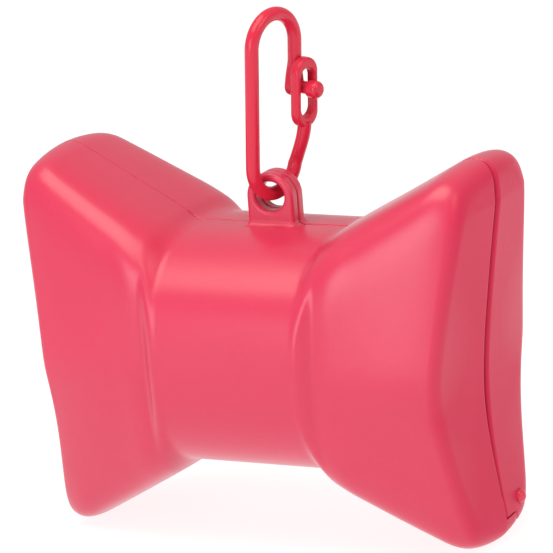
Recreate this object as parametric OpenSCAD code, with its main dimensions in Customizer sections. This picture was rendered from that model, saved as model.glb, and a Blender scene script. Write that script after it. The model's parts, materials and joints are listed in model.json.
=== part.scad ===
// Bow shaped dispenser case for rolls of small bags.
// Two moulded shells close around a roll and turn on two pins at the lower corners.
// A one-piece plastic clip ring passes through the lugs on top and holds them together.
// The origin is the top of the clip's opening, where it hangs. X is right, Y is back, Z is up.

/* [Case] */
// Half of the width over the two wing ends
case_half_w = 42; // [38:0.5:50]
// Half of the height of a wing at its outer end, at the seam before its crown
wing_half_h = 34; // [31:0.5:38]
// Half of the depth of a wing at its outer corners
wing_half_d = 13.5; // [11:0.5:17]
// Share by which the wing faces swell between their corners
wing_bulge = 0.25; // [0:0.01:0.35]
// Share by which the top and bottom of a wing swell between front and back
wing_crown = 0.07; // [0:0.01:0.1]
// Squareness of a wing's section at its outer end, where 2 is an ellipse
wing_square = 9; // [6:0.5:12]
// Squareness of a wing's section where it leaves the knot
root_square = 4.5; // [3:0.1:6]
// Half of the length of the round knot in the middle
knot_half_l = 14; // [12:0.5:17]
// Half of the height of the knot
knot_half_h = 20.4; // [19.2:0.2:23]
// Half of the depth of the knot
knot_half_d = 22.4; // [21:0.25:25]
// Squareness of the knot's section, where 2 is an ellipse
knot_square = 2.9; // [2.4:0.1:3.4]
// How far the knot stands proud of the wings where they meet
knot_step = 0.7; // [0.4:0.1:1.5]
// Length over which the knot's surface falls to the wings
step_l = 2.6; // [1:0.2:4]
// How far the wing ends are drawn in at mid height
end_notch = 4.5; // [0:0.25:6]
// Radius of the four outline corners
corner_r = 8; // [5:0.5:9]
// Radius of the long edges of the end faces
edge_r = 3.4; // [2.6:0.2:4.5]
// Thickness of the shell walls
wall = 1.8; // [1.5:0.1:2.2]

/* [Seam] */
// Gap between the two shells along the seam
seam_gap = 0.3; // [0.2:0.05:0.6]

/* [Lugs] */
// Width of a lug
lug_w = 8.6; // [7.5:0.2:10]
// Thickness of a lug
lug_t = 2.2; // [1.6:0.1:2.6]
// Height of the top of the lugs above the knot
lug_h = 9.2; // [8.4:0.2:12]
// Distance of the lugs and the clip to the right of the middle
lug_x = 0.6; // [-2:0.1:2]
// Width of the rim over the hole in a lug
lug_rim = 1.6; // [1.2:0.1:2]
// Width of the hole in a lug
hole_w = 5.4; // [5.2:0.1:5.6]
// Height of the hole in a lug
hole_h = 5; // [4.8:0.1:5.2]

/* [Clip] */
// Thickness of the clip's round wire
wire_d = 2.4; // [2:0.1:2.6]
// Width of the clip over its two legs
clip_w = 13.3; // [12.5:0.1:17]
// Height of the clip over its two bends
clip_h = 33.5; // [31:0.5:40]
// Turn of the clip's plane away from the seam
clip_turn = 75; // [65:1:90]
// Lean of the clip to the right as it hangs
clip_lean = 4; // [0:1:8]
// Distance of the eye's top below the middle of the wire's top bend
eye_drop = 8.1; // [6:0.1:10]
// Length of the eye that closes the clip
eye_l = 12.2; // [11:0.2:14]
// Width of the eye
eye_w = 5.4; // [5.2:0.1:7]
// Thickness of the eye
eye_t = 1.8; // [1.4:0.1:2.6]
// Width of the slot in the eye
slot_w = 3.2; // [3:0.1:3.4]
// Length of the slot in the eye
slot_l = 8.4; // [7.6:0.2:9]
// Thickness of the peg that the eye hooks over
peg_d = 2.2; // [1.8:0.1:2.4]
// Clearance between the peg's head and the slot
peg_gap = 0.1; // [0.05:0.05:0.2]
// Distance of the peg's head below the top of the slot
peg_drop = 1.9; // [0.5:0.1:3]
// Length of the peg's head
head_l = 2.4; // [1.6:0.1:3]

/* [Hinge] */
// Distance of the hinge axis behind the seam
hinge_y = 6.8; // [6:0.2:7.4]
// Height of the hinge axis above the lower corners of the case
hinge_rise = 6.4; // [5.6:0.2:7.4]
// Thickness of a hinge pin
pin_d = 2.4; // [2:0.1:2.8]
// How far the pin's domed end stands out of the case
pin_out = 0.8; // [0.5:0.1:1.2]
// Thickness of a hinge ear
ear_t = 2; // [1.6:0.1:2.4]
// Running clearance between a pin and the rear shell, measured on the radius
pin_gap = 0.06; // [0.03:0.01:0.08]
// Radius of the rear shell's rounded corner round the pin, at the end face
lobe_r = 2.5; // [2.2:0.1:3]
// Gap between that corner and the front shell's toe below it
toe_gap = 0.35; // [0.25:0.05:0.6]

/* [Roll] */
// Length of the bag roll
roll_l = 58; // [50:1:62]
// Diameter of the full bag roll
roll_d = 32; // [26:0.5:33]
// Outer diameter of the cardboard core
core_d = 14; // [10:0.5:18]
// Wall of the cardboard core
core_wall = 1; // [0.6:0.1:1.5]
// Clearance between the roll and the ribs that carry it
roll_gap = 0.3; // [0.2:0.05:0.6]
// Distance of the ribs from the middle of the case
rib_x = 20; // [18:0.5:24]
// Thickness of a rib
rib_t = 1.6; // [1.2:0.1:2.2]
// Width of the slot that the bags are pulled through
bag_slot_w = 22; // [16:1:24]
// Height of the slot that the bags are pulled through
bag_slot_h = 7; // [5.5:0.5:9]

/* [Hidden] */
pink = [0.91, 0.31, 0.42];
$fn = 48;

// ---- sections of the bow, worked out along x ----
function spow(v, e) = sign(v) * pow(abs(v), e);
function mix(a, b, t) = a + (b - a) * t;
function clamp(v, lo, hi) = max(lo, min(hi, v));
// height at the root of a wing, just below the knot
root_h = knot_half_h - knot_step / 3;
function flare(x) = clamp((x - knot_half_l) / (case_half_w - knot_half_l), 0, 1);
// 1 on the knot and 0 on the wings, with an even turn at both ends of the step between
function eased(t) = t * t * (3 - 2 * t);
function on_knot(x) = eased(clamp((knot_half_l + step_l - x) / step_l, 0, 1));
function half_h(x) = mix(mix(root_h, wing_half_h, flare(x)), knot_half_h, on_knot(x));
function half_d(x) = mix(mix(knot_half_d - knot_step * 2, wing_half_d, flare(x)), knot_half_d, on_knot(x));
function bulge(x) = wing_bulge * pow(flare(x), 0.7);
function crown(x) = wing_crown * pow(flare(x), 0.7);
function square(x) = mix(mix(root_square, wing_square, flare(x)), knot_square, on_knot(x));
// how far the end is drawn in at a height: a soft V
notch_soft = 0.35;
function notch_run(z) = sqrt(pow(abs(z) / wing_half_h, 2) + pow(notch_soft, 2)) - notch_soft;
function notch(z) = end_notch * clamp(1 - notch_run(z) / notch_run(wing_half_h), 0, 1);

// ---- the loft: columns along x, rows round the section ----
// a column is [kind, value]: kind 0 is a place x, 1 an angle on the outline corner,
// 2 a share of the way from the seam to the front edge on the flat end face
rows = 32;
knot_cols = 3;
step_cols = 4;
wing_cols = 5;
flat_places = concat([for (k = [0:knot_cols - 1]) knot_half_l * k / knot_cols],
    [for (k = [0:step_cols]) knot_half_l + step_l * k / step_cols],
    [for (k = [1:wing_cols]) mix(knot_half_l + step_l, case_half_w - corner_r, k / wing_cols)]);
corner_steps = 5;
right_cols = concat([for (x = flat_places) [0, x, 1]],
                    [for (k = [1:corner_steps]) [1, 90 * k / corner_steps, 1]],
                    [[2, 0.5, 1], [2, 0, 1]]);
face_cols = 2;
half_n = len(right_cols) - 1;
cols = concat([for (k = [half_n:-1:1]) [right_cols[k][0], right_cols[k][1], -1]], right_cols);
last = len(cols) - 1;

// a point of the shell's skin, at an inset d from the outside
function place(c, d) = c[0] == 0 ? c[1]
    : c[0] == 1 ? case_half_w - corner_r + (corner_r - d) * sin(c[1]) : case_half_w - d;
function corner_turn(c) = c[0] == 0 ? 0 : c[0] == 1 ? c[1] : 90;
function edge_inset(x, d) = x <= case_half_w - edge_r ? d
    : edge_r - sqrt(max(0, pow(edge_r - d, 2) - pow(x - case_half_w + edge_r, 2)));
function skin(c, a, d) = let (
        x0 = place(c, d),
        n = square(x0),
        s = spow(sin(a), 2 / n),
        t = spow(cos(a), 2 / n),
        inset_h = corner_r - (corner_r - d) * cos(corner_turn(c)),
        y = (half_d(x0) - edge_inset(x0, d)) * s * (1 + bulge(x0) * (1 - t * t)) * (c[0] == 2 ? c[1] : 1),
        z = (half_h(x0) - inset_h) * t * (1 + crown(x0) * (1 - s * s)),
        x = x0 - notch(z) * pow(x0 / case_half_w, 1.5)
    ) [c[2] * x, -y - seam_gap / 2, z];
function grid(d) = [for (i = [0:last]) for (j = [0:rows]) skin(cols[i], 180 * j / rows, d)];
// at the top and bottom rows the end face's columns meet in one point
function id(i, j) = ((j == 0 || j == rows) ? clamp(i, face_cols, last - face_cols) : i) * (rows + 1) + j;
function tri(a, b, c) = (a == b || b == c || a == c) ? [] : [[a, b, c]];
function quad(a, b, c, d) = concat(tri(a, b, c), tri(a, c, d));
function sheet(base) = [for (i = [0:last - 1]) for (j = [0:rows - 1])
    for (f = quad(id(i, j), id(i + 1, j), id(i + 1, j + 1), id(i, j + 1))) [for (k = f) k + base]];
rim_ids = concat([for (i = [face_cols:last - face_cols]) id(i, 0)], [for (j = [1:rows - 1]) id(last, j)],
                 [for (i = [last - face_cols:-1:face_cols]) id(i, rows)], [for (j = [rows - 1:-1:1]) id(0, j)]);
skin_n = (last + 1) * (rows + 1);
function flip(faces) = [for (f = faces) [f[2], f[1], f[0]]];
function rim_faces() = [for (k = [0:len(rim_ids) - 1]) let (a = rim_ids[k], b = rim_ids[(k + 1) % len(rim_ids)])
    for (f = quad(a, a + skin_n, b + skin_n, b)) f];

// half of the case: a walled shell, open towards +Y
module half_case() {
    polyhedron(points = concat(grid(0), grid(wall)),
               faces = concat(sheet(0), flip(sheet(skin_n)), rim_faces()));
}

// ---- places that several pieces share ----
hinge_drop = wing_half_h - hinge_rise;
lug_top = knot_half_h + lug_h;
hole_top = lug_top - lug_rim;
wire_r = wire_d / 2;
bend_r = (clip_w - wire_d) / 2;
ring_h = clip_h - wire_d;
// the wire hangs the case: it lies just under the top of the holes
wire_room = 0.6;
face_u = (lug_t + seam_gap / 2) / sin(clip_turn);
bend_rise = bend_r - sqrt(bend_r * bend_r - face_u * face_u);
wire_z = hole_top - wire_room - wire_r - bend_rise;
loop_h = ring_h - wire_r;
loop_at = [lug_x + loop_h * sin(clip_lean), 0, wire_z + loop_h * cos(clip_lean)];
hinge_at = [0, hinge_y, -hinge_drop];
// the ears stay clear of the end walls that swing past them
ear_sweep = 12;
ear_room = 0.4;
ear_x = case_half_w - wall - notch(hinge_drop - ear_sweep) - ear_room;
pin_r = pin_d / 2;
ear_rim = 1.7;
ear_r = pin_r + ear_rim;
pin_seat = 0.02;
far = 2 * case_half_w;
// plain cuts reach this far past what they cut
past = 1;

module in_frame() {
    translate(-loop_at) children();
}
// along the hinge axis, on the side s
module at_hinge(s, x) {
    translate([s * x, hinge_at[1], hinge_at[2]]) rotate([0, s * 90, 0]) children();
}

// ---- the shells ----
module stadium(w, h) {
    r = min(w, h) / 2;
    for (s = [-1, 1]) translate(w > h ? [s * (w / 2 - r), 0] : [0, s * (h / 2 - r)]) circle(r);
    square(w > h ? [w - 2 * r, h] : [w, h - 2 * r], center = true);
}
// lug outline in x and z, with a flared foot
foot_w = 1;
foot_h = 1.2;
module lug_outline() {
    r = lug_w / 2;
    foot_z = knot_half_h - wall / 2;
    translate([0, lug_top - r]) circle(r);
    polygon([[-r, lug_top - r], [-r, foot_z + wall / 2 + foot_h], [-r - foot_w, foot_z + wall / 2],
             [-r - foot_w, foot_z], [r + foot_w, foot_z], [r + foot_w, foot_z + wall / 2],
             [r, foot_z + wall / 2 + foot_h], [r, lug_top - r]]);
}
module lug() {
    translate([lug_x, -seam_gap / 2, 0]) rotate([90, 0, 0]) linear_extrude(lug_t) difference() {
        lug_outline();
        translate([0, hole_top - hole_h / 2]) stadium(hole_w, hole_h);
    }
}
// a rib across the case that the roll turns in; it fills the section out to the middle of the wall
rib_steps = 24;
function rib_point(a) = let (p = skin([0, rib_x, 1], a, wall / 2)) [p[1], p[2]];
module rib(s, lowest) {
    translate([s * rib_x - rib_t / 2, 0, 0]) rotate([90, 0, 90]) linear_extrude(rib_t) difference() {
        intersection() {
            polygon([for (k = [0:rib_steps]) rib_point(180 * k / rib_steps)]);
            translate([-far, lowest]) square([2 * far, 2 * far]);
        }
        circle(roll_d / 2 + roll_gap);
    }
}
// the rear shell's lower corner at an end, round the hinge axis: its radius follows the edge of
// the end face, so it turns without touching the toe below it
end_x = case_half_w - notch(hinge_drop);
toe_drop = 1.7;
// the toes reach in to where the case's outline crosses the level of their cut
toe_share = ((hinge_drop + toe_drop) / (1 + wing_crown) - root_h) / (wing_half_h - root_h);
toe_x = mix(knot_half_l, case_half_w, toe_share);
lobe_steps = 8;
module lobe(s, grow) {
    edge = [for (k = [0:lobe_steps]) let (a = 90 * k / lobe_steps)
        [lobe_r + edge_r * cos(a) + grow, end_x - edge_r + edge_r * sin(a) - toe_x]];
    at_hinge(s, toe_x) rotate_extrude()
        polygon(concat([[0, -past], [lobe_r + edge_r + grow, -past]], edge, [[lobe_r + grow, far], [0, far]]));
}
// what the front shell's toes take over from the rear shell, below the hinge axis
module toe_space(grow, back) {
    for (s = [-1, 1]) difference() {
        translate([s > 0 ? toe_x + grow : -far, -past, -hinge_drop - toe_drop - far - grow])
            cube([far - toe_x - grow, back + past, far]);
        lobe(s, grow);
    }
}
module rear_half() {
    mirror([0, 1, 0]) half_case();
}
// the arm that carries a pin: a disc, and a bar up to a block on the end wall, in front of the seam
arm_low = 6.5;
arm_high = 12.5;
arm_back = -0.8;
arm_front = -4.5;
module ear(s) {
    translate([s > 0 ? ear_x - ear_t : -ear_x, 0, 0]) rotate([90, 0, 90]) linear_extrude(ear_t) {
        translate([hinge_y, -hinge_drop]) circle(ear_r);
        translate([0, -hinge_drop]) polygon([[hinge_y - ear_r, 0], [arm_back, arm_low], [arm_front, arm_low],
            [arm_front, arm_high], [arm_back, arm_high], [hinge_y + ear_r * sin(45), ear_r * cos(45)]]);
    }
    block_x = case_half_w - wall / 2 - notch(hinge_drop - arm_high);
    translate([s > 0 ? ear_x - ear_t : -block_x, arm_front, arm_low - hinge_drop])
        cube([block_x - ear_x + ear_t, arm_back - arm_front, arm_high - arm_low]);
}
// room in the rear shell's bottom for an ear
ear_gap = 0.3;
module ear_space(s) {
    at_hinge(s, ear_x - ear_t - ear_gap) cylinder(h = ear_t + 2 * ear_gap, r = ear_r + ear_gap);
}
module front_shell() {
    color(pink) in_frame() difference() {
        union() {
            half_case();
            lug();
            for (s = [-1, 1]) {
                rib(s, -far);
                ear(s);
            }
            intersection() {
                translate([0, -seam_gap, 0]) rear_half();
                toe_space(toe_gap, hinge_y);
            }
        }
        for (s = [-1, 1]) at_hinge(s, ear_x - ear_t - past) cylinder(h = ear_t + 2 * past, r = pin_r + pin_seat);
    }
}
// the rear ribs stop short of the bottom, which swings up past the roll as the case opens
rib_share = 0.4;
module rear_shell() {
    color(pink) in_frame() difference() {
        union() {
            rear_half();
            mirror([0, 1, 0]) {
                lug();
                for (s = [-1, 1]) rib(s, -roll_d * rib_share);
            }
        }
        toe_space(0, far);
        for (s = [-1, 1]) {
            ear_space(s);
            at_hinge(s, ear_x) cylinder(h = far, r = pin_r + pin_gap);
        }
        translate([0, knot_half_d / 2, 0]) rotate([-90, 0, 0]) linear_extrude(far) stadium(bag_slot_w, bag_slot_h);
    }
}

// ---- the hinge pins ----
pin_tail = 0.5;
pin_l = end_x + pin_out - ear_x + ear_t + pin_tail;
module hinge_pin(s) {
    color(pink) in_frame() at_hinge(s, ear_x - ear_t - pin_tail) {
        cylinder(h = pin_l - pin_r, r = pin_r);
        translate([0, 0, pin_l - pin_r]) sphere(pin_r);
    }
}
module hinge_pin_left() {
    hinge_pin(-1);
}
module hinge_pin_right() {
    hinge_pin(1);
}

// ---- the clip, drawn in its own plane: X runs from the front leg to the rear leg, Z up ----
eye_z = ring_h - eye_drop - eye_l / 2;
head_r = slot_w / 2 - peg_gap;
peg_z = eye_z + slot_l / 2 - head_r - peg_drop;
// the pad behind the eye is a little thinner than the wire and stands a lip out around it
pad_thin = 0.2;
pad_t = wire_d - pad_thin;
pad_lip = 0.6;
pad_r = wire_r + pad_lip;
eye_gap = 0.2;
eye_y = wire_r - pad_t - eye_gap - eye_t / 2;
// the head starts in front of the eye
head_gap = 0.3;
head_y = eye_y - eye_t / 2 - head_gap;
head_taper = 0.7;
cup_gap = 0.1;
module clip_place() {
    in_frame() translate([lug_x, 0, wire_z]) rotate([0, clip_lean, 0]) rotate([0, 0, clip_turn]) children();
}
module bend(s) {
    rotate([s * 90, 0, 0]) rotate_extrude(angle = 180) translate([bend_r, 0]) circle(wire_r);
}
module clip_hook() {
    color(pink) clip_place() difference() {
        union() {
            translate([0, 0, bend_r]) rotate([0, 180, 0]) bend(1);
            translate([-bend_r, 0, bend_r]) cylinder(h = ring_h - 2 * bend_r, r = wire_r);
            translate([0, 0, ring_h - bend_r]) bend(1);
            translate([bend_r, 0, peg_z]) cylinder(h = ring_h - bend_r - peg_z, r = wire_r);
            // the pad behind the eye, the peg through its slot and the peg's head
            translate([bend_r, wire_r, peg_z]) rotate([90, 0, 0]) {
                cylinder(h = pad_t, r = pad_r);
                cylinder(h = wire_r - head_y, r = peg_d / 2);
                translate([0, 0, wire_r - head_y]) {
                    cylinder(h = head_l / 2, r = head_r);
                    translate([0, 0, head_l / 2]) cylinder(h = head_l / 2, r1 = head_r, r2 = head_r * head_taper);
                }
            }
        }
        translate([bend_r, 0, bend_r]) sphere(wire_r + cup_gap);
    }
}
module clip_arm() {
    leg_top = eye_z - eye_l / 2 + (eye_l - slot_l) / 4;
    rise = leg_top - bend_r;
    color(pink) clip_place() {
        translate([bend_r, 0, bend_r]) {
            sphere(wire_r);
            rotate([atan2(-eye_y, rise), 0, 0]) cylinder(h = norm([rise, eye_y]), r = wire_r);
        }
        translate([bend_r, eye_y + eye_t / 2, eye_z]) rotate([90, 0, 0]) linear_extrude(eye_t) difference() {
            stadium(eye_w, eye_l);
            stadium(slot_w, slot_l);
        }
    }
}

// ---- the bags ----
module tube(r, hole_r) {
    rotate([0, 90, 0]) difference() {
        cylinder(h = roll_l, r = r, center = true);
        cylinder(h = roll_l + 2, r = hole_r, center = true);
    }
}
core_fit = 0.05;
module roll_core() {
    color([0.72, 0.6, 0.45]) in_frame() tube(core_d / 2, core_d / 2 - core_wall);
}
module bag_roll() {
    color([0.2, 0.22, 0.25]) in_frame() tube(roll_d / 2, core_d / 2 + core_fit);
}

front_shell();
rear_shell();
hinge_pin_left();
hinge_pin_right();
clip_hook();
clip_arm();
roll_core();
bag_roll();
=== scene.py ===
"""Looks of the bow shaped bag dispenser: moulded pink case, snap clip ring, hinge pins and bag roll.

Shapes are worked out in millimetres in the case's own frame, whose middle is on the roll's axis, or in the
clip's own plane, and each piece is put into metres in the part's frame when it is finished.
"""

import json
import math

import bmesh
import bpy
import numpy as np
from mathutils import Matrix, Vector


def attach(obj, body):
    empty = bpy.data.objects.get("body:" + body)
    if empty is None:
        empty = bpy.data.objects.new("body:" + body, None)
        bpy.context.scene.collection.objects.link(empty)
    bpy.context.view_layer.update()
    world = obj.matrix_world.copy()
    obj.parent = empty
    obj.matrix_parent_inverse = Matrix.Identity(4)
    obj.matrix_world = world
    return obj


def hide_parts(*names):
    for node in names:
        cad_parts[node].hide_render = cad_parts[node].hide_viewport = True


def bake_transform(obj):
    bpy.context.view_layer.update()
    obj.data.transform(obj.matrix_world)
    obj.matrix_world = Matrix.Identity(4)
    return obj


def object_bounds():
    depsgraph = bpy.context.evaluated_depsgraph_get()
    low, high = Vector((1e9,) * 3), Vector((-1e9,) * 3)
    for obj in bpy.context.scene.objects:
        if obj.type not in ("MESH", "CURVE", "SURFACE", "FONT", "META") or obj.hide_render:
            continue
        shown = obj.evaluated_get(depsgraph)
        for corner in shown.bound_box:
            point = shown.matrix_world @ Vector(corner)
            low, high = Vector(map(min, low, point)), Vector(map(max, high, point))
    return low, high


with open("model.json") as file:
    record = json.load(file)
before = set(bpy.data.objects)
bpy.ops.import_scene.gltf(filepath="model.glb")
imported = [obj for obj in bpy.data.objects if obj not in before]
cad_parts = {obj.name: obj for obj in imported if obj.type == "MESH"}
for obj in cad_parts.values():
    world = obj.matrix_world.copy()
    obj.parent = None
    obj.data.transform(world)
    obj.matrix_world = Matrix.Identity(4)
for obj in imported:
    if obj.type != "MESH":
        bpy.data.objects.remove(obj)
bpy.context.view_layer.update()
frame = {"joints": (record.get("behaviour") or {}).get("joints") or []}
MM = 0.001

# ---- places that the frame gives, in millimetres ----
JOINTS = {joint["name"]: joint for joint in frame["joints"]}


def joint_at(name):
    """A joint's point in the part's frame."""
    return np.array(JOINTS[name]["pos_m"], float) / MM


CENTRE = joint_at("roll_spin")
HINGE = joint_at("rear_shell_open") - CENTRE
WIRE = joint_at("dispenser_swing") - CENTRE

# ---- the case, in millimetres ----
# the wings at their ends: half sizes, squareness, and how their faces swell
HALF_W = 42.0
WING_H = 33.8
WING_D = 12.6
WING_SQUARE = 11.0
BULGE = 0.5
TOP_DEEPER = 0.12
CROWN = 0.07
CROWN_GROWTH = 0.7
# the soft ridge across a wing's face, in shares of its half height
RIDGE_T = -0.06
RIDGE_SOFT = 0.09
# the outline corners, the long edges and the draft of the mould
CORNER_R = 7.0
EDGE_R = 1.8
DRAFT = 0.05
# the knot, the step up to it, the wing's root and the puff beside it
KNOT_L = 13.4
KNOT_H = 20.4
KNOT_D = 22.4
KNOT_SQUARE = 2.6
KNOT_STEP = 1.0
STEP_L = 3.6
ROOT_H = KNOT_H - KNOT_STEP / 3
ROOT_D = KNOT_D - KNOT_STEP * 2
ROOT_SQUARE = 3.8
PUFF = 0.3
PUFF_X = 19.5
PUFF_L = 3.0
# the soft V in the end faces
END_NOTCH = 4.2
NOTCH_SOFT = 0.33
NOTCH_Z = -7.8
# the wall and its rim at the seam, which is wider at the ends and all but shut on top of the left wing
WALL = 1.8
SEAM_GAP = 0.3
SEAM_REACH = 4.0
SEAM_SHUT = 0.12
LIP_R = 0.45
LIP_SHUT = 0.75
END_LIP_R = 0.8
END_GAP = 0.35
# where the rim changes, as starts and lengths: round the end's corner in radians, up the end and over the left wing
END_FROM, END_OVER = 0.6, 0.9
UPPER_FROM, UPPER_OVER = -26.0, 20.0
LEFT_OVER, TOP_OVER = 8.0, 10.0
# the toes and the rounded hinge corners
HINGE_DROP = 27.6
TOE_DROP = 1.7
TOE_GAP = 0.35
TOE_OVERLAP = 0.2
LOBE_R = 2.5
# past all of the case, for cutters and for limits that don't bind
FAR = HALF_W + 9

# ---- lugs, ribs, ears and pins, in millimetres ----
LUG_X = 0.6
LUG_W = 8.6
LUG_T = 2.2
LUG_H = 9.2
LUG_RIM = 1.6
LUG_HEEL = 0.8
LUG_ROOT = KNOT_H - WALL * 0.6
LUG_EDGES = 0.65, 0.7, 0.25
HOLE_W = 5.4
HOLE_H = 5.0
FOOT_R = 1.0
FOOT_CORNER = 0.65
RIB_X = 20.0
RIB_T = 1.6
RIB_R = 16.3
RIB_REAR_LOW = -12.8
SLOT_W = 22.0
SLOT_H = 7.0
PIN_R = 1.2
PIN_OUT = 0.8
PIN_FIT = 0.06
EAR_X = 36.74
EAR_T = 2.0
EAR_R = 2.9
EAR_FIT = 0.02
EAR_ROOM = 0.3
# the bar that carries an ear's disc, as places across and above the pin
EAR_BAR_Y = -4.5, -0.8
EAR_BAR_Z = 6.5, 12.5

# ---- the clip, in millimetres in its own plane ----
WIRE_R = 1.2
BEND_R = 5.45
RING_H = 31.1
CLIP_TURN = math.radians(75)
CLIP_LEAN = math.radians(4)
# where the ring ends and the arm starts, in degrees below the bottom bend's right side
BLEND_TURN = 14.0
# the stretch of the rear leg, from below to above the end of that bend, that bends as the arm flexes
FLEX_BELOW, FLEX_ABOVE = 1.2, 3.0
# how early the arm leans across as it rises; 1 is an even ease
ARM_BEND = 0.65
EYE_L = 12.2
EYE_W = 5.4
EYE_DROP = 8.1
EYE_T = 1.8
EYE_Y = -(WIRE_R + EYE_T / 2)
EYE_Z = RING_H - EYE_DROP - EYE_L / 2
EYE_EDGES = 0.5, 0.45, 0.45
EYE_PLAY = 0.3
SLOT_WIDE = 3.2
SLOT_LONG = 8.4
HEAD_R = SLOT_WIDE / 2 - 0.1
HEAD_L = 2.4
HEAD_BACK_R = 0.3
HEAD_TIP_R = 0.9
PEG_R = 1.1
PEG_DROP = 1.9
PEG_Z = EYE_Z + SLOT_LONG / 2 - HEAD_R - PEG_DROP
# the pad that the peg stands on: its neck, and how it grows flatter and squarer than the wire
PAD_R = WIRE_R + 0.6
PAD_NECK = 2.2
PAD_FLARE = 3.0
PAD_THIN = 0.1
PAD_SQUARE = 1.6

# ---- the roll, in millimetres ----
ROLL_L = 58.0
ROLL_R = 16.0
ROLL_SHY = 0.35
CORE_R = 7.0
CORE_WALL = 1.0
CORE_EDGE = 0.25
CORE_FIT = 0.05
LAP = 0.35


# ---- meshes ----
def ease(x):
    """0 below 0, 1 above 1, and 3x^2 - 2x^3 between."""
    x = np.clip(x, 0, 1)
    return x * x * (3 - 2 * x)


def grid_quads(n, m, wrap_n=False, wrap_m=False):
    """Quads of an n by m grid of points numbered row by row, closed round either way if asked."""
    i = np.arange(n if wrap_n else n - 1)[:, None]
    j = np.arange(m if wrap_m else m - 1)[None, :]
    a, b = i * m + j, (i + 1) % n * m + j
    c, d = (i + 1) % n * m + (j + 1) % m, i * m + (j + 1) % m
    return np.stack([a, b, c, d], -1).reshape(-1, 4)


def placed(name, mesh):
    """A new object in the scene that shows a mesh."""
    thing = bpy.data.objects.new(name, mesh)
    bpy.context.scene.collection.objects.link(thing)
    return thing


def outwards(mesh, merge=0.0):
    """Turns all faces outwards; a merge distance first merges doubles and drops faces shrunk to a line."""
    bm = bmesh.new()
    bm.from_mesh(mesh)
    if merge:
        bmesh.ops.remove_doubles(bm, verts=bm.verts, dist=merge)
        bmesh.ops.dissolve_degenerate(bm, edges=bm.edges, dist=merge)
    bmesh.ops.recalc_face_normals(bm, faces=bm.faces)
    bm.to_mesh(mesh)
    bm.free()


def mesh_of(name, points, quads):
    """A mesh object from points and quads, whose doubles are merged and whose faces are turned outwards."""
    points, quads = np.asarray(points, np.float32).reshape(-1, 3), np.asarray(quads, np.int32)
    mesh = bpy.data.meshes.new(name)
    mesh.vertices.add(len(points))
    mesh.vertices.foreach_set("co", points.ravel())
    mesh.loops.add(quads.size)
    mesh.loops.foreach_set("vertex_index", quads.ravel())
    mesh.polygons.add(len(quads))
    mesh.polygons.foreach_set("loop_start", np.arange(0, quads.size, 4, dtype=np.int32))
    mesh.update(calc_edges=True)
    mesh.validate()
    outwards(mesh, merge=1e-4)
    return placed(name, mesh)


def box_mesh(name, low, high):
    """A plain box between two corners, used as a cutter."""
    low, high = np.array(low, float), np.array(high, float)
    corner = np.indices((2, 2, 2)).reshape(3, -1).T
    quads = [[0, 1, 3, 2], [4, 6, 7, 5], [0, 4, 5, 1], [2, 3, 7, 6], [0, 2, 6, 4], [1, 5, 7, 3]]
    return mesh_of(name, low + corner * (high - low), quads)


def prism(name, outline, axis, start, end):
    """Extrudes a closed outline of two columns along axis 0, 1 or 2, with one flat face at each end."""
    outline = np.asarray(outline, float)
    n = len(outline)
    points = np.concatenate([np.insert(outline, axis, value, axis=1) for value in (start, end)])
    i = np.arange(n)
    sides = np.stack([i, (i + 1) % n, (i + 1) % n + n, i + n], -1)
    mesh = bpy.data.meshes.new(name)
    mesh.from_pydata(points.tolist(), [], sides.tolist() + [i.tolist(), (i[::-1] + n).tolist()])
    outwards(mesh)
    return placed(name, mesh)


def revolved(name, profile, turns=64, side=1):
    """Turns a profile of (place along X, radius) about the X axis: (x, r cos a, r sin a).

    The profile's ends lie on the axis, or both in the same place.
    """
    profile = np.asarray(profile, float)
    angle = np.linspace(0, 2 * np.pi, turns, endpoint=False)
    x = side * np.repeat(profile[:, :1], turns, 1)
    points = np.stack([x, profile[:, 1:] * np.cos(angle), profile[:, 1:] * np.sin(angle)], -1)
    return mesh_of(name, points, grid_quads(len(profile), turns, wrap_m=True))


def boolean(thing, tool, operation):
    """Changes thing by tool with a boolean operation, and removes the tool."""
    modifier = thing.modifiers.new("boolean", "BOOLEAN")
    modifier.operation = operation
    modifier.object = tool
    modifier.solver = "MANIFOLD"
    graph = bpy.context.evaluated_depsgraph_get()
    made = bpy.data.meshes.new_from_object(thing.evaluated_get(graph))
    thing.modifiers.clear()
    thing.data = made
    bpy.data.objects.remove(tool)
    return thing


def cut(thing, tool):
    """thing less tool."""
    return boolean(thing, tool, "DIFFERENCE")


def joined(thing, tool):
    """thing and tool as one closed mesh."""
    return boolean(thing, tool, "UNION")


def moved(thing, x, y, z):
    """Shifts a mesh."""
    thing.data.transform(Matrix.Translation((x, y, z)))
    return thing


def turned_back(thing):
    """Mirrors a mesh front to back, with its faces kept outwards."""
    thing.data.transform(Matrix.Diagonal((1, -1, 1, 1)))
    thing.data.flip_normals()
    return thing


# ---- outlines ----
def circle(radius, count, centre=(0, 0)):
    """Points evenly round a circle."""
    a = np.linspace(0, 2 * np.pi, count, endpoint=False)
    return radius * np.stack([np.cos(a), np.sin(a)], -1) + centre


def arc(centre, radius, start, end, count):
    """Points of an arc from start to end degrees, where 0 is along the first axis and 90 along the second."""
    a = np.radians(np.linspace(start, end, count))
    return np.stack([centre[0] + radius * np.cos(a), centre[1] + radius * np.sin(a)], -1)


def stadium(width, height, centre=(0, 0), count=180):
    """A stadium's outline, clockwise from its left, with even steps of angle on the round parts."""
    r = min(width, height) / 2
    a = np.linspace(-np.pi / 2, 1.5 * np.pi, count, endpoint=False) + np.pi / count
    x = r * np.sin(a) + np.sign(np.sin(a)) * (width / 2 - r)
    z = r * np.cos(a) + np.sign(np.cos(a)) * (height / 2 - r)
    return filled(np.stack([x, z], -1)) + centre


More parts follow.
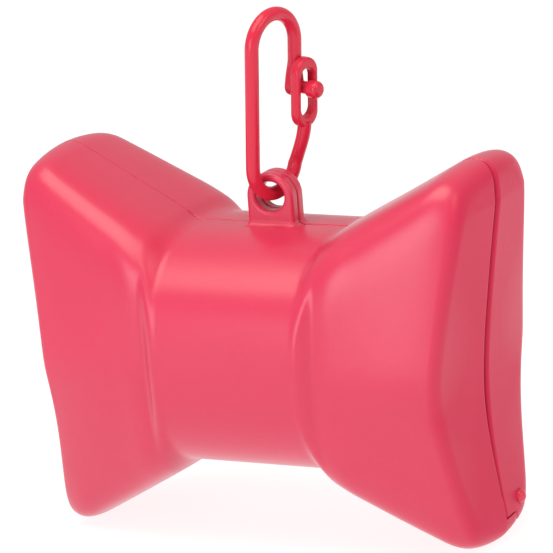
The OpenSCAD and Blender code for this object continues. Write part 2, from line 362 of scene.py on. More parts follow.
def filled(outline, step=0.12):
    """Adds points on the long straight stretches of a closed outline."""
    length = np.linalg.norm(np.roll(outline, -1, 0) - outline, axis=1)
    parts = np.maximum(np.ceil(length / step), 1).astype(int)
    place = np.concatenate([[0], np.cumsum(parts)])
    k = np.arange(place[-1])
    closed = np.concatenate([outline, outline[:1]])
    return np.stack([np.interp(k, place, closed[:, c]) for c in (0, 1)], -1)


def outward(outline):
    """Outward unit normals of a closed outline that runs clockwise, seen with its second axis up."""
    step = np.roll(outline, -1, 0) - np.roll(outline, 1, 0)
    normal = np.stack([-step[:, 1], step[:, 0]], -1)
    return normal / np.linalg.norm(normal, axis=1, keepdims=True)


def in_line(outer, hole, centre):
    """The points of a hole's outline that lie in line with the outer outline's points, seen from centre."""
    away, near = outer - centre, hole - centre
    angle, radius = np.arctan2(near[:, 0], near[:, 1]), np.hypot(*near.T)
    order = np.argsort(angle)
    seen = np.interp(np.arctan2(away[:, 0], away[:, 1]), angle[order], radius[order], period=2 * np.pi)
    return centre + away / np.linalg.norm(away, axis=1, keepdims=True) * seen[:, None]


def ring_plate(name, outer, inner, depth, outer_round, inner_round, back_round):
    """A plate with a hole, whose section is a rectangle with rounded corners carried round both outlines.

    outer and inner are outlines in x and z with as many points each. The plate runs from y = 0 to y = -depth, where
    its front edges have the radii outer_round and inner_round. A section point has four columns: its share of the way
    from the hole to the outside, its inset from the nearer outline, its offset along Y, and 1 in front or 0 behind.
    """
    quarter = np.linspace(0, np.pi / 2, 9)
    face = np.linspace(0, 1, 16)[1:-1]
    wall = np.linspace(0, 1, 5)[1:-1]

    def points(*columns):
        return np.stack(np.broadcast_arrays(*columns), -1)

    def corner(share, radius, front):
        off = radius * (1 - np.cos(quarter))
        return points(share, radius * (1 - np.sin(quarter)), -off if front else off, front)

    def side(share, low, high):
        return points(share, 0.0, low * (1 - wall) - high * wall, wall)

    def flat(start, end, front):
        return points(face, start * (1 - face) + end * face, 0.0, front)

    section = np.concatenate([
        flat(inner_round, outer_round, 1.0),
        corner(1.0, outer_round, 1.0),
        side(1.0, back_round, outer_round)[::-1],
        corner(1.0, back_round, 0.0)[::-1],
        flat(back_round, back_round, 0.0)[::-1],
        corner(0.0, back_round, 0.0),
        side(0.0, back_round, inner_round),
        corner(0.0, inner_round, 1.0)[::-1],
    ])
    share, inset, off, front = section.T
    share, inset = share[:, None], inset[:, None]
    near = inner[:, None] + outward(inner)[:, None] * inset
    away = outer[:, None] - outward(outer)[:, None] * inset
    x, z = np.moveaxis(near * (1 - share) + away * share, -1, 0)
    y = np.broadcast_to(-(off + front * depth), x.shape)
    return mesh_of(name, np.stack([x, y, z], -1), grid_quads(len(outer), len(section), True, True))


# ---- the skin of the bow ----
def flare(x):
    """0 at the knot, 1 at the wing's end."""
    return np.clip((x - KNOT_L) / (HALF_W - KNOT_L), 0, 1)


def soft_v(v, soft):
    """A V with a rounded point: the root of v^2 + soft^2, less soft."""
    return np.sqrt(v * v + soft**2) - soft


def ridge(t):
    """A soft tent over the height share t: 1 at RIDGE_T, falling by 1 over a share of 1."""
    return 1 - soft_v(t - RIDGE_T, RIDGE_SOFT) / soft_v(1, RIDGE_SOFT)


def notch(z):
    """How far the end is drawn in at height z: END_NOTCH times one minus a soft V about NOTCH_Z."""
    share = 1 - soft_v((z - NOTCH_Z) / WING_H, NOTCH_SOFT) / soft_v(1, NOTCH_SOFT)
    return END_NOTCH * np.clip(share, 0, 1)


def sizes_at(x):
    """Half height, half depth, bulge, crown and squareness of the section at x.

    All run straight from the root to the wing's end, with an eased step up to the knot, and the depth also has the
    puff, PUFF exp(-((x - PUFF_X) / PUFF_L)^2).
    """
    t, knot = flare(x), ease((KNOT_L + STEP_L - x) / STEP_L)

    def run(at_knot, at_root, at_end):
        return (at_root * (1 - t) + at_end * t) * (1 - knot) + at_knot * knot

    height = run(KNOT_H, ROOT_H, WING_H)
    depth = run(KNOT_D, ROOT_D, WING_D) + PUFF * np.exp(-(((x - PUFF_X) / PUFF_L) ** 2))
    return height, depth, BULGE * t, CROWN * t**CROWN_GROWTH, run(KNOT_SQUARE, ROOT_SQUARE, WING_SQUARE)


END_X = HALF_W - notch(-HINGE_DROP)
# the toes reach in to where the case's outline crosses the level of their cut
TOE_SHARE = ((HINGE_DROP + TOE_DROP) / (1 + CROWN) - ROOT_H) / (WING_H - ROOT_H)
TOE_X = KNOT_L + (HALF_W - KNOT_L) * TOE_SHARE


def columns():
    """The loft's columns on the right half: outline place x, corner angle and share of the end face.

    They run along the knot, close together over its step, along the wing, round the outline corner, and then over the
    end face to the seam, where they crowd.
    """
    before, after, seam = KNOT_L - 0.6, KNOT_L + STEP_L + 0.4, 0.12
    flat = np.concatenate([
        np.linspace(0, before, 14)[:-1],
        np.linspace(before, after, 11)[:-1],
        np.linspace(after, HALF_W - CORNER_R, 40),
    ])
    angle = np.linspace(0, 90, 31)[1:]
    share = np.concatenate([np.linspace(1, seam, 14)[1:], seam * np.linspace(1, 0, 9)[1:] ** 1.6])
    x = np.concatenate([flat, np.full(len(angle) + len(share), HALF_W)])
    turn = np.concatenate([np.zeros(len(flat)), angle, np.full(len(share), 90.0)])
    part = np.concatenate([np.ones(len(flat) + len(angle)), share])
    return x, np.radians(turn), part


def rows():
    """Angles round half the section, from the top of the seam to its bottom, crowded at the seam and the corners."""
    seam = 0.1
    near = seam * np.linspace(0, 1, 14) ** 1.5
    r = np.linspace(0, 1, 104)
    middle = seam + (np.pi - 2 * seam) * (r + 0.62 * np.sin(4 * np.pi * r) / (4 * np.pi))
    return np.concatenate([near[:-1], middle, np.pi - near[-2::-1]])


def skin(inset, x, turn, part, angle):
    """Points of the right half of the case's skin at an inset from the outside, with the depth away from the seam.

    A section is a superellipse, |y/d|^n + |z/h|^n = 1, whose faces swell by bulge and crown. Its height drops round
    the outline corners, its depth drops round the long edges, and the end is drawn in by the notch and, away from
    the seam, by the draft of the mould.
    """
    x, turn, part = x[:, None], turn[:, None], part[:, None]
    x0 = np.where(turn == 0, x, HALF_W - CORNER_R + (CORNER_R - inset) * np.sin(turn))
    height, depth, bulge, crown, n = sizes_at(x0)
    k = (np.abs(np.sin(angle)) ** n + np.abs(np.cos(angle)) ** n) ** (1 / n)
    s, t = np.sin(angle) / k, np.cos(angle) / k
    reach = np.clip(x0 - HALF_W + EDGE_R, 0, None)
    edge = np.where(reach > 0, EDGE_R - np.sqrt(np.clip((EDGE_R - inset) ** 2 - reach**2, 0, None)), inset)
    drop = CORNER_R - (CORNER_R - inset) * np.cos(turn)
    y = (depth - edge) * s * (1 + bulge * ridge(t) + TOP_DEEPER * flare(x0) * t)
    z = (height - drop) * t * (1 + crown * (1 - s * s))
    # inside the end face, rows fan out from the edge's own heights to even heights along the seam
    run = np.concatenate([[0], np.cumsum(np.hypot(np.diff(y[-1]), np.diff(z[-1])))])
    even = z[-1:, :1] * (1 - 2 * run / run[-1])
    z = np.where(part < 1, even + (z - even) * part, z)
    y = y * part
    x1 = x0 - notch(z) * (x0 / HALF_W) ** 1.5 - DRAFT * np.abs(y) * flare(x0) ** 4
    return np.stack([x1, y, z], -1)


def near_seam(p):
    """1 at the seam, falling straight to 0 at SEAM_REACH from it."""
    return np.clip(1 - p[..., 1] / SEAM_REACH, 0, 1)


def left_top(p, side):
    """1 on top of the left wing, eased to 0 towards the knot and the middle of its height."""
    return (side < 0) * ease((p[..., 0] - KNOT_L) / LEFT_OVER) * ease(p[..., 2] / TOP_OVER)


def half_case(name, back, lip_low=-FAR, lip=True):
    """Half of the case as one closed wall, open at the seam.

    Its outer rim is rounded down to height lip_low, more so at the end faces, where the rim also draws back a little
    in the upper part, so that the seam there shows as a dark line. On top of the left wing the seam is all but shut.
    """
    x, turn, part = columns()
    angle = rows()
    at_end = ease((turn[:, None] - END_FROM) / END_OVER)
    y_side = 1 if back else -1

    def sheet(inset, rounded):
        halves = []
        for side in (-1, 1):
            p = skin(inset, x, turn, part, angle)
            upper = ease((p[..., 2] - UPPER_FROM) / UPPER_OVER) * lip
            draw = END_GAP * at_end * upper
            p[..., 1] += draw * near_seam(p)
            if rounded:
                radius = (LIP_R + (END_LIP_R - LIP_R) * at_end * upper) * (1 - LIP_SHUT * left_top(p, side))
                reach = np.clip(radius - (p[..., 1] - draw), 0, radius)
                dip = (radius - np.sqrt(radius**2 - reach**2)) * ease((p[..., 2] - lip_low) / 1.5)
                y = p[..., 1].copy()
                p = skin(inset + dip, x, turn, part, angle)
                p[..., 1] = y
            p[..., 1] -= SEAM_SHUT * left_top(p, side) * near_seam(p)
            p = p * (side, y_side, 1) + (0, y_side * SEAM_GAP / 2, 0)
            halves.append(p[::-1] if side < 0 else p[1:])
        return np.concatenate(halves)

    outer, inner = sheet(0.0, lip), sheet(WALL, False)
    n, m = outer.shape[:2]
    i, j = np.arange(n), np.arange(m)
    rim = np.concatenate([i * m, (n - 1) * m + j[1:], i[-2::-1] * m + m - 1, j[-2:0:-1]])
    after, inside = np.roll(rim, -1), n * m
    faces = grid_quads(n, m)
    across = np.stack([rim, rim + inside, after + inside, after], -1)
    return mesh_of(name, np.stack([outer, inner]), np.concatenate([faces, faces[:, ::-1] + inside, across]))


# ---- lugs, ribs, ears and toes ----
def lug_plate():
    """The lug's plate with its hole: a round top on straight sides, down to a rounded heel inside the wall."""
    r, top = LUG_W / 2, KNOT_H + LUG_H
    centre = np.array([0, top - LUG_RIM - HOLE_H / 2])
    heel = arc((r - LUG_HEEL, LUG_ROOT + LUG_HEEL), LUG_HEEL, 0, -90, 12)
    outer = filled(np.concatenate([arc((0, top - r), r, 180, 0, 90), heel, heel[::-1] * (-1, 1)]))
    hole = in_line(outer, stadium(HOLE_W, HOLE_H, centre), centre)
    return ring_plate("lug", outer, hole, LUG_T, *LUG_EDGES)


def lug_foot():
    """The fillet at a lug's foot: its footprint, a rounded rectangle, grown by a quarter circle on its way down."""
    ring = circle(1, 160)
    count = len(ring)
    middle = np.sign(ring) * (LUG_W / 2 - FOOT_CORNER, LUG_T / 2 - FOOT_CORNER)
    down = np.linspace(0, np.pi / 2, 14)
    spread = np.concatenate([FOOT_CORNER + FOOT_R * (1 - np.cos(down)), [FOOT_CORNER + FOOT_R] * 2])
    height = np.concatenate([KNOT_H + FOOT_R * (1 - np.sin(down)), [KNOT_H - 0.5, LUG_ROOT]])
    x, y = np.moveaxis(middle + ring * spread[:, None, None], -1, 0)
    levels = np.stack([x, np.minimum(y - LUG_T / 2, 0), np.repeat(height[:, None], count, 1)], -1)
    ends = np.array([[0, -LUG_T / 2, height[0]], [0, -LUG_T / 2, LUG_ROOT]])
    points = np.concatenate([np.repeat(ends[:1, None], count, 1), levels, np.repeat(ends[1:, None], count, 1)])
    return mesh_of("foot", points, grid_quads(len(points), count, wrap_m=True))


def lug(back):
    """A lug on top of the knot, flat against the seam."""
    plate = moved(joined(lug_plate(), lug_foot()), LUG_X, -SEAM_GAP / 2, 0)
    return turned_back(plate) if back else plate


def rib(side, lowest=-FAR):
    """A rib across the front shell: the case's section to the middle of its wall, less a circle for the roll."""
    section = skin(WALL / 2, np.array([RIB_X]), np.zeros(1), np.ones(1), np.linspace(0, np.pi, 90))
    outline = section[0, :, 1:] * (-1, 1) - (SEAM_GAP / 2, 0)
    outline = outline[outline[:, 1] > lowest]
    if lowest > -RIB_R:
        outline = np.concatenate([outline, [[-SEAM_GAP / 2, lowest]]])
    start = side * RIB_X - RIB_T / 2
    plate = prism("rib", outline, 0, start, start + RIB_T)
    return cut(plate, prism("roll_room", circle(RIB_R, 120), 0, start - 1, start + RIB_T + 1))


def ear(side):
    """The arm inside the front shell that carries a pin: a disc round the pin and a bar up to a block on the end."""
    front, back = EAR_BAR_Y
    foot, head = HINGE[2] + np.array(EAR_BAR_Z)
    inner, outer = EAR_X - EAR_T, HALF_W - WALL / 2 - notch(EAR_BAR_Z[1] - HINGE_DROP)
    disc = arc(HINGE[1:], EAR_R, 180, 405, 40)
    bar = [[back, head], [front, head], [front, foot], [back, foot]]
    plate = prism("ear", np.concatenate([disc, bar]), 0, side * inner, side * EAR_X)
    left, right = sorted((side * inner, side * outer))
    plate = joined(plate, box_mesh("block", (left, front, foot), (right, back, head)))
    hole = circle(PIN_R + EAR_FIT, 48, HINGE[1:])
    return cut(plate, prism("pin_hole", hole, 0, side * (inner - 1), side * (EAR_X + 1)))


def lobe(side, grow):
    """The rear shell's lower corner at an end, turned round the hinge axis, whose radius follows the end's edge."""
    edge = arc((END_X - EDGE_R, LOBE_R + grow), EDGE_R, 90, 0, 20)
    start = [[TOE_X - 1, 0], [TOE_X - 1, LOBE_R + EDGE_R + grow]]
    profile = np.concatenate([start, edge, [[FAR, LOBE_R + grow], [FAR, 0]]])
    return moved(revolved("lobe", profile, 96, side), 0, HINGE[1], HINGE[2])


def toe_space(side, grow, back):
    """What the front shell's toe takes over from the rear shell, below the hinge axis."""
    left, right = sorted((side * (TOE_X + grow), side * FAR))
    space = box_mesh("toe_space", (left, -1, -FAR), (right, back, HINGE[2] - TOE_DROP - grow))
    return cut(space, lobe(side, grow))


def make_front():
    """The front shell: wall, lug, ribs, ears and toes in one closed mesh."""
    case = joined(half_case("front_case", False, lip_low=HINGE[2] + 0.5), lug(False))
    for side in (-1, 1):
        toe = moved(half_case("toe", True, lip=False), 0, -SEAM_GAP - TOE_OVERLAP, 0)
        toe = boolean(toe, toe_space(side, TOE_GAP, HINGE[1]), "INTERSECT")
        case = joined(joined(joined(case, toe), rib(side)), ear(side))
    return case


def make_rear():
    """The rear shell: wall, lug and ribs, less the toes' space, the ears' room, the pin holes and the bag slot."""
    case = joined(half_case("rear_case", True), lug(True))
    room, hole = circle(EAR_R + EAR_ROOM, 64, HINGE[1:]), circle(PIN_R + PIN_FIT, 48, HINGE[1:])
    for side in (-1, 1):
        case = joined(case, turned_back(rib(side, RIB_REAR_LOW)))
        case = cut(case, toe_space(side, 0, FAR))
        start, end = side * (EAR_X - EAR_T - EAR_ROOM), side * (EAR_X + EAR_ROOM)
        case = cut(case, prism("ear_room", room, 0, start, end))
        case = cut(case, prism("pin_hole", hole, 0, side * EAR_X, side * FAR))
    return cut(case, prism("bag_slot", stadium(SLOT_W, SLOT_H), 1, KNOT_D / 2, KNOT_D * 2))


def make_pin(side):
    """A hinge pin: a turned rod with a bevel inside and a domed end that stands out of the case."""
    start, end, bevel = EAR_X - EAR_T - 0.5, END_X + PIN_OUT, 0.15
    profile = np.concatenate([
        [[start, 0], [start, PIN_R - bevel], [start + bevel, PIN_R]],
        np.stack([np.linspace(start + 2 * bevel, end - PIN_R, 12), np.full(12, PIN_R)], -1)[:-1],
        arc((end - PIN_R, 0), PIN_R, 90, 0, 16),
    ])
    return moved(revolved("pin", profile, 64, side), 0, HINGE[1], HINGE[2])


# ---- the clip, in its own plane: u from the front leg to the rear leg, z up, y across ----
def tube(name, path, across, depth, square=2.0, shift=0.0, count=48):
    """A closed bar: a superellipse carried along a path in the plane.

    across and depth are its half sizes in the plane and across it, square its exponent, shift its place across.
    """
    n = len(path)
    across, depth, square, shift = (np.broadcast_to(v, n)[:, None] for v in (across, depth, square, shift))
    step = np.gradient(path, axis=0)
    step /= np.linalg.norm(step, axis=1, keepdims=True)
    a = np.linspace(0, 2 * np.pi, count, endpoint=False)
    c = np.sign(np.cos(a)) * np.abs(np.cos(a)) ** (2 / square) * across
    s = np.sign(np.sin(a)) * np.abs(np.sin(a)) ** (2 / square) * depth
    points = np.stack([path[:, :1] - step[:, 1:] * c, shift + s, path[:, 1:] + step[:, :1] * c], -1)
    ends = np.stack([path[:, 0], shift[:, 0], path[:, 1]], -1)[[0, -1]]
    points = np.concatenate([np.repeat(ends[:1, None], count, 1), points, np.repeat(ends[1:, None], count, 1)])
    return mesh_of(name, points, grid_quads(n + 2, count, wrap_m=True))


def leg(u, start, end, count):
    """Even points up or down a straight leg at u."""
    return np.stack([np.full(count, u), np.linspace(start, end, count)], -1)


def make_peg():
    """The peg with its rounded head, turned about its axis and set across the pad."""
    neck = WIRE_R - EYE_Y + EYE_T / 2 + EYE_PLAY
    head = neck + HEAD_L
    profile = np.concatenate([
        [[0.4, 0], [0.4, PEG_R]],
        np.stack([np.linspace(0.6, neck - 0.1, 12), np.full(12, PEG_R)], -1),
        arc((neck + HEAD_BACK_R, HEAD_R - HEAD_BACK_R), HEAD_BACK_R, 180, 90, 10),
        arc((head - HEAD_TIP_R, HEAD_R - HEAD_TIP_R), HEAD_TIP_R, 90, 0, 10),
        [[head, 0]],
    ])
    peg = revolved("peg", profile)
    peg.data.transform(Matrix.Rotation(math.radians(-90), 4, "Z"))
    return moved(peg, BEND_R, WIRE_R, PEG_Z)


def make_hook():
    """The clip's ring: bottom bend, front leg, top bend and the leg that spreads into the pad, and the peg on it.

    Down to the peg the pad is the wider of a disc, the root of PAD_R^2 - rise^2, and a neck eased out of the wire.
    """
    top, rear_count = RING_H - BEND_R, 60
    path = np.concatenate([
        arc((0, BEND_R), BEND_R, -BLEND_TURN, -180, 60),
        leg(-BEND_R, BEND_R, top, 42)[1:-1],
        arc((0, top), BEND_R, 180, 0, 72),
        leg(BEND_R, top, PEG_Z - PAD_R + 0.001, rear_count + 1)[1:],
    ])
    rise = path[:, 1] - PEG_Z
    rear = np.arange(len(path)) >= len(path) - rear_count
    disc = np.sqrt(np.clip(PAD_R**2 - rise**2, 0, None))
    neck = WIRE_R + (PAD_R - WIRE_R) * ease((PAD_R + PAD_NECK - rise) / (2 * PAD_NECK))
    pad = np.where(rise > 0, np.maximum(disc, neck), disc)
    across = np.where(rear & (rise < PAD_R + PAD_NECK), pad, WIRE_R)
    spread = np.where(rear, ease((PAD_R + PAD_FLARE - rise) / PAD_FLARE), 0)
    end = np.where(rear, np.clip(-rise / PAD_R, 0, 1), 0)
    depth = (WIRE_R - PAD_THIN * spread) * np.sqrt(1 - end**6)
    wire = tube("hook_wire", path, across, depth, 2 + PAD_SQUARE * spread, PAD_THIN * spread)
    return joined(wire, make_peg())


def make_arm():
    """The clip's arm: the wire from the bottom bend, leaning across as it rises, and the eye that hooks the peg."""
    top = EYE_Z - EYE_L / 2 + (EYE_L - SLOT_LONG) / 4
    path = np.concatenate([arc((0, BEND_R), BEND_R, -BLEND_TURN, 0, 10)[:-1], leg(BEND_R, BEND_R, top, 60)])
    lean = EYE_Y * ease((path[:, 1] - path[0, 1]) / (top - path[0, 1])) ** ARM_BEND
    centre = np.array([BEND_R, EYE_Z])
    outer = stadium(EYE_W, EYE_L, centre)
    slot = in_line(outer, stadium(SLOT_WIDE, SLOT_LONG, centre), centre)
    eye = moved(ring_plate("eye", outer, slot, EYE_T, *EYE_EDGES), 0, EYE_Y + EYE_T / 2, 0)
    return joined(tube("arm_wire", path, WIRE_R, WIRE_R, 2.0, lean), eye)


# ---- the bags ----
def make_core():
    """A cardboard tube with slightly rounded ends."""
    half, r, bore = ROLL_L / 2, CORE_EDGE, CORE_R - CORE_WALL
    end = arc((half - r, CORE_R - r), r, 90, 0, 5)
    outer = np.concatenate([end[::-1] * (-1, 1), end])
    inner = [[half, bore + r], [half - r, bore], [-half + r, bore], [-half, bore + r]]
    return revolved("core", np.concatenate([outer, inner, outer[:1]]), 96)


def make_roll():
    """The wound bags: a spiral of film whose outer lap ends in a step, with uneven laps showing at both ends.

    The radius falls by LAP over one turn, the ends swell by sines of the radius, and soft creases of up to 0.12 mm
    wander along the outside.
    """
    half, bore = ROLL_L / 2 - ROLL_SHY, CORE_R + CORE_FIT
    a = np.linspace(0, 2 * np.pi, 240, endpoint=False)
    radius = np.linspace(bore, ROLL_R, 46)
    laps = 0.22 * np.sin(radius * 9.0) + 0.12 * np.sin(radius * 23.0 + 1)
    face = np.stack([half + laps * (radius < ROLL_R - 0.5) * (radius > CORE_R + 0.5), radius], -1)
    along = np.linspace(-half, half, 60)[1:-1]
    outside = np.stack([along, np.full_like(along, ROLL_R)], -1)
    inside = np.stack([along[::-1], np.full_like(along, bore)], -1)
    profile = np.concatenate([face * (-1, 1), outside, face[::-1], inside])
    x, r = profile[:, :1], profile[:, 1:]
    creases = 0.06 * (1 + np.sin(x * 0.9 + 2 * np.sin(3 * a))) * (r > ROLL_R - 0.01)
    r = r - LAP * a / (2 * np.pi) * np.clip((r - bore) / (ROLL_R - CORE_R), 0, 1) - creases
    points = np.stack([np.repeat(x, len(a), 1), r * np.cos(a), r * np.sin(a)], -1)
    return mesh_of("roll", points, grid_quads(len(profile), len(a), True, True))


# ---- finishes ----
# patterns of the moulded plastic, in features a metre: flow clouds, spark eroded grain, pits and a slow swell
CLOUDS, GRAIN, PITS, SWELL = 38, 2600, 900, 120
GRAIN_DEEP = 0.00004
SWELL_DEEP = 0.0003
PLASTIC_IOR = 1.49
COAT_ROUGHNESS = 0.32
# where the coat fades out near the ends, in millimetres from the middle, and how the line leans with the height
SHEEN_END = 34.8
SHEEN_FADE = 2.2
SHEEN_LEAN = 0.12


def srgb(red, green, blue):
    """A colour given as it looks on screen, 0 to 255, as the linear colour that a shader takes."""
    c = np.array([red, green, blue]) / 255
    return (*np.where(c < 0.04045, c / 12.92, ((c + 0.055) / 1.055) ** 2.4), 1.0)


class Value:
    """A socket of a finish; sums on it add Math nodes."""

    def __init__(self, finish, socket):
        self.finish, self.socket = finish, socket

    def maths(self, operation, a, b=0.0, clamp=False):
        return self.finish.node("ShaderNodeMath", {"operation": operation, "use_clamp": clamp}, {0: a, 1: b})

    def __add__(self, other):
        return self.maths("ADD", self, other)

    __radd__ = __add__

    def __sub__(self, other):
        return self.maths("SUBTRACT", self, other)

    def __rsub__(self, other):
        return self.maths("SUBTRACT", other, self)

    def __mul__(self, other):
        return self.maths("MULTIPLY", self, other)

    __rmul__ = __mul__

    def __truediv__(self, other):
        return self.maths("DIVIDE", self, other)

    def __rtruediv__(self, other):
        return self.maths("DIVIDE", other, self)

    def __abs__(self):
        return self.maths("ABSOLUTE", self)

    def held(self):
        """The value kept between 0 and 1."""
        return self.maths("ADD", self, 0.0, clamp=True)


class Finish:
    """A material: fixed numbers are set on its shader's sockets, and patterns feed a few of them."""

    def __init__(self, name, **fixed):
        self.material = bpy.data.materials.new(name)
        self.material.use_nodes = True
        self.nodes, self.links = self.material.node_tree.nodes, self.material.node_tree.links
        self.shader = self.nodes["Principled BSDF"]
        for key, value in fixed.items():
            self.shader.inputs[key.replace("_", " ")].default_value = value
        self.place = self.node("ShaderNodeTexCoord", output="Object")

    def node(self, kind, settings=(), inputs=(), output=0):
        """Adds a node: its settings are put in first, then the numbers or links of its sockets."""
        made = self.nodes.new(kind)
        for key, value in dict(settings).items():
            setattr(made, key, value)
        for key, value in dict(inputs).items():
            if isinstance(value, Value):
                self.links.new(value.socket, made.inputs[key])
            else:
                made.inputs[key].default_value = value
        return Value(self, made.outputs[output])

    def along(self, axis):
        """The place along X, Y or Z, as axis 0, 1 or 2, in metres."""
        return self.node("ShaderNodeSeparateXYZ", {}, {0: self.place}, output=axis)

    def stretched(self, x, y, z):
        """The place times a factor along each axis."""
        return self.node("ShaderNodeVectorMath", {"operation": "MULTIPLY"}, {0: self.place, 1: (x, y, z)})

    def noise(self, scale, detail=2.0, roughness=0.5, place=None):
        """Soft noise with features of about 1 / scale metres."""
        inputs = {"Vector": place or self.place, "Scale": scale, "Detail": detail, "Roughness": roughness}
        return self.node("ShaderNodeTexNoise", {}, inputs)

    def mix(self, share, a, b):
        """Colour a where share is 0 and b where it is 1."""
        return self.node("ShaderNodeMix", {"data_type": "RGBA"}, {0: share, 6: a, 7: b}, output=2)

    def bump(self, height, strength, distance, under=None):
        """A normal bent by a height, over another normal if one is given."""
        inputs = {"Height": height, "Strength": strength, "Distance": distance}
        if under:
            inputs["Normal"] = under
        return self.node("ShaderNodeBump", {}, inputs)

    def feed(self, **values):
        """Links values to the shader's sockets and gives back the material."""
        for key, value in values.items():
            self.links.new(value.socket, self.shader.inputs[key.replace("_", " ")])
        return self.material


def moulded(name, light, deep, roughness, grain, gloss, sheen=None):
    """Moulded coloured plastic: a fine spark eroded grain, faint flow clouds in the colour and small gloss changes.

    sheen is the weight of a coat, which fades out over the end faces, whose mould is duller: it ends where
    |x| - SHEEN_LEAN |z|, measured from the middle and from the notch, passes SHEEN_END.
    """
    plastic = Finish(name, IOR=PLASTIC_IOR, Specular_IOR_Level=gloss, Coat_Roughness=COAT_ROUGHNESS)
    clouds, pits = plastic.noise(CLOUDS, 3), plastic.noise(PITS, 2)
    colour = plastic.mix((clouds * 1.6 - 0.3).held(), light, deep)
    rough = roughness + (clouds - 0.5) * 0.08 + (pits - 0.5) * 0.1
    height = plastic.noise(GRAIN, 2) * 0.85 + pits * 0.15
    swell = plastic.bump(plastic.noise(SWELL, 1), 0.08, SWELL_DEEP)
    if sheen:
        across = abs(plastic.along(0) - CENTRE[0] * MM)
        up = abs(plastic.along(2) - (CENTRE[2] + NOTCH_Z) * MM)
        past = ((across - SHEEN_LEAN * up - SHEEN_END * MM) / (SHEEN_FADE * MM)).held()
        plastic.feed(Coat_Weight=sheen * (1 - past) * (0.9 + pits * 0.2))
    return plastic.feed(Base_Color=colour, Roughness=rough, Normal=plastic.bump(height, grain, GRAIN_DEEP, swell))


def cardboard():
    """Grey brown board with fibres drawn out along the tube and paler patches."""
    board = Finish("cardboard", IOR=1.4)
    fibre = board.noise(900, 4, 0.65, board.stretched(0.2, 1, 1))
    patch = board.noise(160, 2)
    colour = board.mix((fibre * 0.7 + patch * 0.5 - 0.1).held(), srgb(150, 122, 86), srgb(196, 168, 128))
    rough = 0.82 + (fibre - 0.5) * 0.2
    return board.feed(Base_Color=colour, Roughness=rough, Normal=board.bump(fibre, 0.5, 0.0001))


def film():
    """Thin matt bag film in tight laps, with a faint haze and creases drawn out along the roll."""
    bag = Finish("bag_film", IOR=1.5)
    crease = bag.noise(260, 3, 0.55, bag.stretched(0.35, 1, 1))
    haze = bag.noise(60, 2)
    colour = bag.mix((haze * 1.4 - 0.2).held(), srgb(52, 56, 62), srgb(78, 82, 90))
    rough = 0.42 + (crease - 0.5) * 0.3
    return bag.feed(Base_Color=colour, Roughness=rough, Normal=bag.bump(crease, 0.6, 0.0003))


def paper_floor():
    """White paper that glows a little, so that it stays as pale as the background."""
    paper = Finish("paper_floor", Specular_IOR_Level=0.0, Emission_Color=(1, 1, 1, 1), Emission_Strength=0.86)
    tone = paper.noise(7, 2)
    colour = paper.mix(tone, (0.24, 0.24, 0.24, 1), (0.26, 0.26, 0.26, 1))
    return paper.feed(Base_Color=colour, Roughness=0.85 + (tone - 0.5) * 0.05)


# ---- the pieces ----
SHELL = moulded("shell_plastic", srgb(213, 50, 86), srgb(208, 44, 80), 0.36, 0.5, 0.1, sheen=1.0)
PIN = moulded("pin_plastic", srgb(228, 62, 92), srgb(223, 58, 86), 0.24, 0.15, 0.4)
CLIP = moulded("clip_plastic", srgb(214, 42, 72), srgb(209, 38, 67), 0.2, 0.06, 0.4)

CLIP_ORIGIN = CENTRE + WIRE
CLIP_PLACE = Matrix.Rotation(CLIP_LEAN, 3, "Y") @ Matrix.Rotation(CLIP_TURN, 3, "Z")


def finished(name, thing, body, finish, nodes, origin=CENTRE, turn=Matrix.Identity(3), sharp=32, blend=None):
    """Puts a piece made in millimetres about origin into metres in the part's frame.

    It is shaded smooth, with edges of more than sharp degrees left sharp, and its CAD nodes are hidden. It is tied to
    its body, or, when blend is given, only baked into the part's frame.
    """
    thing.name = thing.data.name = name
    mesh = thing.data
    mesh.transform(Matrix.Translation(Vector(origin) * MM) @ (turn * MM).to_4x4())
    mesh.update()
    mesh.shade_smooth()
    mesh.set_sharp_from_angle(angle=math.radians(sharp))
    mesh.materials.clear()
    mesh.materials.append(finish)
    if blend:
        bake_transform(thing)
    else:
        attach(thing, body)
    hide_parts(*nodes)


def clip_point(u, z):
    """A point of the clip's plane in the part's frame, in metres."""
    return tuple((Vector(CLIP_ORIGIN) + CLIP_PLACE @ Vector((u, 0, z))) * MM)


finished("front_case", make_front(), "front", SHELL, ["front_shell"])
finished("rear_case", make_rear(), "rear", SHELL, ["rear_shell"])
finished("pin_left", make_pin(-1), "front", PIN, ["hinge_pin_left"])
finished("pin_right", make_pin(1), "front", PIN, ["hinge_pin_right"])
finished("clip_ring", make_hook(), "clip", CLIP, ["clip_hook"], CLIP_ORIGIN, CLIP_PLACE)
FLEX = clip_point(BEND_R, BEND_R - FLEX_BELOW), clip_point(BEND_R, BEND_R + FLEX_ABOVE)
finished("clip_eye", make_arm(), None, CLIP, ["clip_arm"], CLIP_ORIGIN, CLIP_PLACE,
         blend=("clip", "clip_arm", *FLEX))
finished("cardboard_tube", make_core(), "roll", cardboard(), ["roll_core"])
finished("wound_bags", make_roll(), "roll", film(), ["bag_roll"], sharp=50)

# ---- camera, floor and light ----
AZIMUTH, ELEVATION, ROLL = 27.5, 14.9, math.radians(4.35)
DISTANCE, LENS, SENSOR = 0.782, 297.6, 36.0
PIXELS_PER_MM = 5.848
# how far the view's middle lies right of and above the case's, in pixels
AIM_RIGHT, AIM_UP = -6.1, 61.2
# name, azimuth, elevation, distance, size, power and colour of each lamp, in degrees, metres and watts
LAMPS = [
    ("key", -8, 13, 0.6, 0.26, 0.9, (0.97, 0.97, 1)),
    ("fill", 80, 35, 0.9, 0.5, 1.6, (1, 0.93, 0.58)),
    ("top", -20, 72, 0.7, 0.6, 3.7, (1, 0.98, 0.84)),
]
ROOM_STRENGTH = 0.5
MIDDLE = Vector(CENTRE) * MM


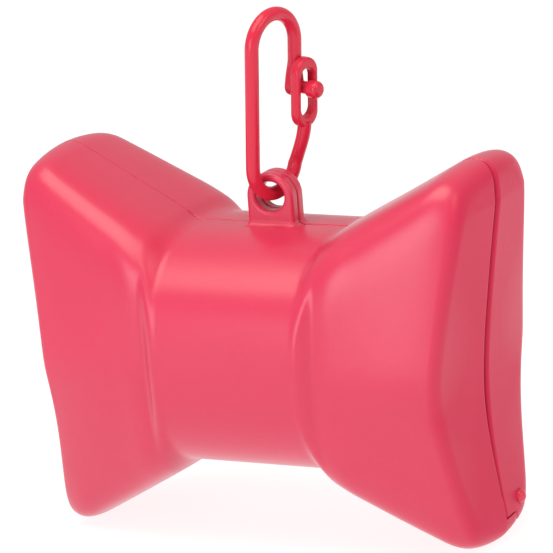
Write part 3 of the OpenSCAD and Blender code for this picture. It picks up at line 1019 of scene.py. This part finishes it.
def towards(azimuth, elevation):
    """The unit vector from the case to a viewer or lamp at an azimuth and an elevation, in degrees."""
    a, e = math.radians(azimuth), math.radians(elevation)
    return Vector((math.sin(a) * math.cos(e), -math.cos(a) * math.cos(e), math.sin(e)))


def add_camera():
    """A long lens at the photograph's angle, turned by the roll, aimed so that the case sits where it does there."""
    back = towards(AZIMUTH, ELEVATION)
    right = Vector((0, 0, 1)).cross(back).normalized()
    turn = Matrix.Rotation(-ROLL, 3, back)
    right, up = turn @ right, turn @ back.cross(right)
    data = bpy.data.cameras.new("camera")
    data.lens, data.sensor_width, data.clip_start, data.clip_end = LENS, SENSOR, 0.01, 20
    camera = placed("camera", data)
    aim = MIDDLE + (right * AIM_RIGHT + up * AIM_UP) / PIXELS_PER_MM * MM
    basis = Matrix((right, up, back)).transposed()
    camera.matrix_world = Matrix.Translation(aim + back * DISTANCE) @ basis.to_4x4()
    bpy.context.scene.camera = camera


def add_lamp(name, azimuth, elevation, distance, size, power, colour):
    """A soft square lamp that shines at the case."""
    data = bpy.data.lights.new(name, "AREA")
    data.shape, data.size, data.energy, data.color = "SQUARE", size, power, colour
    back = towards(azimuth, elevation)
    turn = back.to_track_quat("Z", "Y").to_matrix().to_4x4()
    placed(name, data).matrix_world = Matrix.Translation(MIDDLE + back * distance) @ turn


def add_floor():
    """A flat pale sheet under the case, large enough to fill every view."""
    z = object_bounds()[0][2] - 0.0002
    side = np.linspace(-3, 3, 13)
    x, y = np.meshgrid(side, side, indexing="ij")
    points = np.stack([x, y, np.full_like(x, z)], -1).reshape(-1, 3)
    mesh = bpy.data.meshes.new("floor")
    mesh.from_pydata(points.tolist(), [], grid_quads(13, 13).tolist())
    mesh.materials.append(paper_floor())
    placed("floor", mesh)


def add_room():
    """A plain white world."""
    world = bpy.data.worlds.new("white_room")
    world.use_nodes = True
    sky = world.node_tree.nodes["Background"]
    sky.inputs["Color"].default_value = (1, 1, 1, 1)
    sky.inputs["Strength"].default_value = ROOM_STRENGTH
    bpy.context.scene.world = world


add_camera()
add_floor()
for lamp in LAMPS:
    add_lamp(*lamp)
add_room()
bpy.context.scene.view_settings.view_transform = "Standard"
